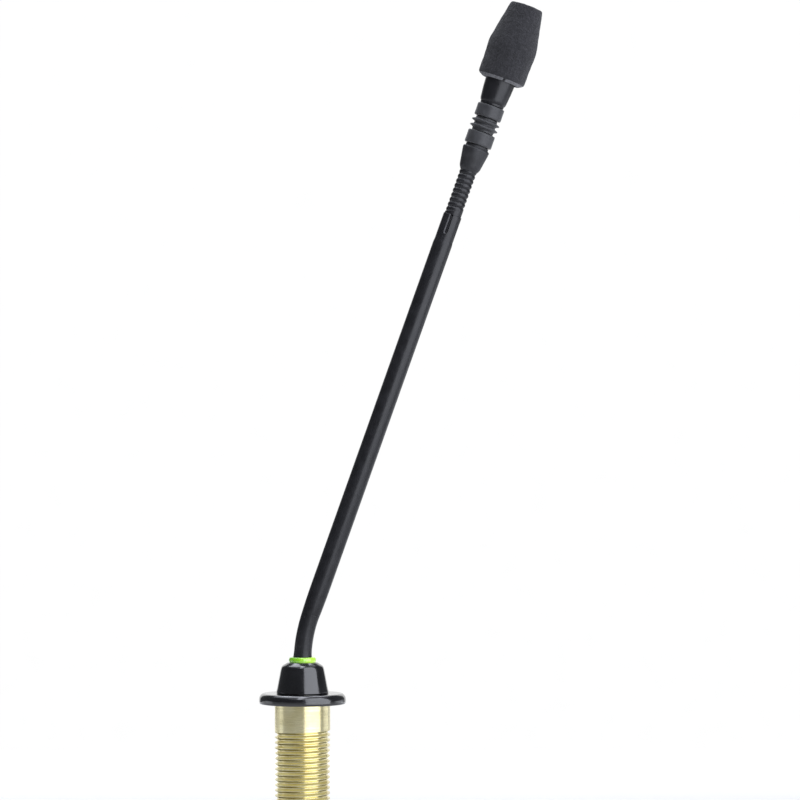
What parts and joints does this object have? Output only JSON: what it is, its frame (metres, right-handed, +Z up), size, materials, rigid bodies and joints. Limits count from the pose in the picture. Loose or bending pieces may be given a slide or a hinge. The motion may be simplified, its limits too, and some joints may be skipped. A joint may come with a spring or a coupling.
{
  "type": "gooseneck microphone",
  "caption": "Slim gooseneck microphone on a through-table flange mount: threaded brass tube, green light ring, two flexible necks, rigid stem and a foam-covered capsule.",
  "frame": {"origin": "centre of the flange's underside, on the axis of the threaded tube, level with the table top", "axes": "+Z up out of the table along the tube, +X the way the stem leans at rest, -Y the side the slit in the stem's upper end faces"},
  "size_m": [0.1131, 0.0348, 0.3728],
  "materials": {
    "black_gloss": "gloss black paint",
    "black_satin": "satin black coating",
    "black_rubber": "matte black rubber",
    "brass": "plain machined brass",
    "steel": "turned steel",
    "green_ring": "translucent lime-green light guide, lit",
    "led_white": "clear lens",
    "board_green": "green solder mask on glass-fibre board",
    "dark_plastic": "dark moulded plastic",
    "cable_grey": "dark grey cable jacket",
    "foam": "open-cell charcoal foam"
  },
  "bodies": {
    "base": {"threaded_tube": "brass", "flange_plate": "black_gloss", "cone_housing": "black_gloss", "light_ring": "green_ring", "led_board": "board_green", "led_1": "led_white", "led_2": "led_white", "led_3": "led_white", "led_4": "led_white", "neck_ferrule": "steel", "ferrule_screw": "steel", "lower_neck_root": "steel", "preamp_board": "board_green", "upper_board_holder": "dark_plastic", "lower_board_holder": "dark_plastic", "output_transformer": "dark_plastic", "amplifier_chip": "dark_plastic", "capacitor_1": "dark_plastic", "capacitor_2": "dark_plastic", "base_cable": "cable_grey", "output_insert": "dark_plastic", "output_pin_1": "brass", "output_pin_2": "brass", "output_pin_3": "brass", "insert_screw": "steel"},
    "washers": {"rubber_washer": "black_rubber", "steel_washer": "steel"},
    "nut": {"lock_nut": "brass"},
    "low_1": {"lower_link_1": "steel"},
    "low_2": {"lower_link_2": "steel", "lower_neck_skin": "black_satin", "lower_cable": "cable_grey"},
    "low_3": {"lower_link_3": "steel"},
    "stem": {"stem_sleeve": "black_satin", "lower_bushing": "steel", "upper_bushing": "black_satin", "stem_cable": "cable_grey"},
    "up_1": {"upper_link_1": "black_satin"},
    "up_2": {"upper_link_2": "black_satin"},
    "up_3": {"upper_link_3": "black_satin", "upper_cable": "cable_grey"},
    "up_4": {"upper_link_4": "black_satin"},
    "up_5": {"upper_link_5": "black_satin"},
    "head": {"neck_adapter": "dark_plastic", "lower_collar": "black_rubber", "shock_bellows": "black_rubber", "upper_collar": "black_rubber", "capsule_housing": "black_satin", "capsule_cap": "black_satin", "dust_screen": "steel", "capsule_gasket": "black_rubber", "capsule_element": "steel", "contact_pin_1": "brass", "contact_pin_2": "brass", "capsule_board": "board_green", "head_cable": "cable_grey"},
    "windscreen": {"foam_windscreen": "foam"}
  },
  "joints": [
    {"name": "lower_pitch", "type": "hinge", "parent": "base", "child": "low_1", "pos_m": [0.00016, 0, 0.0208], "axis": [0.0003, 1, 0], "range_deg": [-20, 12], "deforming": ["lower_neck_skin", "lower_cable"]},
    {"name": "lower_side", "type": "hinge", "parent": "low_1", "child": "low_2", "pos_m": [0.00059, 0, 0.02467], "axis": [0.9898, 0, -0.1426], "range_deg": [-18, 18]},
    {"name": "lower_pitch_2", "type": "hinge", "parent": "low_2", "child": "low_3", "pos_m": [0.00127, 0, 0.02851], "axis": [0.0003, 1, 0], "range_deg": [-20, 12]},
    {"name": "lower_side_2", "type": "hinge", "parent": "low_3", "child": "stem", "pos_m": [0.00222, 0, 0.03229], "axis": [0.9613, 0, -0.2756], "range_deg": [-18, 18]},
    {"name": "upper_pitch", "type": "hinge", "parent": "stem", "child": "up_1", "pos_m": [0.0606, 0, 0.19677], "axis": [0.0003, 1, 0], "range_deg": [-16, 16], "deforming": ["upper_cable"]},
    {"name": "upper_side", "type": "hinge", "parent": "up_1", "child": "up_2", "pos_m": [0.06164, 0, 0.19969], "axis": [0.9422, 0, -0.3351], "range_deg": [-16, 16]},
    {"name": "upper_pitch_2", "type": "hinge", "parent": "up_2", "child": "up_3", "pos_m": [0.06268, 0, 0.20261], "axis": [0.0003, 1, 0], "range_deg": [-16, 16]},
    {"name": "upper_side_2", "type": "hinge", "parent": "up_3", "child": "up_4", "pos_m": [0.06372, 0, 0.20553], "axis": [0.9422, 0, -0.3351], "range_deg": [-16, 16]},
    {"name": "upper_pitch_3", "type": "hinge", "parent": "up_4", "child": "up_5", "pos_m": [0.06476, 0, 0.20845], "axis": [0.0003, 1, 0], "range_deg": [-16, 16]},
    {"name": "upper_side_3", "type": "hinge", "parent": "up_5", "child": "head", "pos_m": [0.0658, 0, 0.21137], "axis": [0.9422, 0, -0.3351], "range_deg": [-16, 16]},
    {"name": "windscreen_pull", "type": "slide", "parent": "head", "child": "windscreen", "axis": [0.3351, 0, 0.9422], "range_m": [0, 0.035]},
    {"name": "nut_travel", "type": "slide", "parent": "base", "child": "washers", "axis": [0, 0, 1], "range_m": [-0.01695, 0.036]},
    {"name": "nut_spin", "type": "hinge", "parent": "washers", "child": "nut", "pos_m": [0, 0, -0.0506], "axis": [0, 0, 1], "range_deg": [-2880, 6120]}
  ],
  "couplings": [
    {"joint": "lower_pitch_2", "follows": "lower_pitch", "ratio": 1},
    {"joint": "lower_side_2", "follows": "lower_side", "ratio": 1},
    {"joint": "upper_pitch_2", "follows": "upper_pitch", "ratio": 1},
    {"joint": "upper_side_2", "follows": "upper_side", "ratio": 1},
    {"joint": "upper_pitch_3", "follows": "upper_pitch", "ratio": 1},
    {"joint": "upper_side_3", "follows": "upper_side", "ratio": 1},
    {"joint": "nut_travel", "follows": "nut_spin", "m_per_rad": 0.00033688}
  ]
}
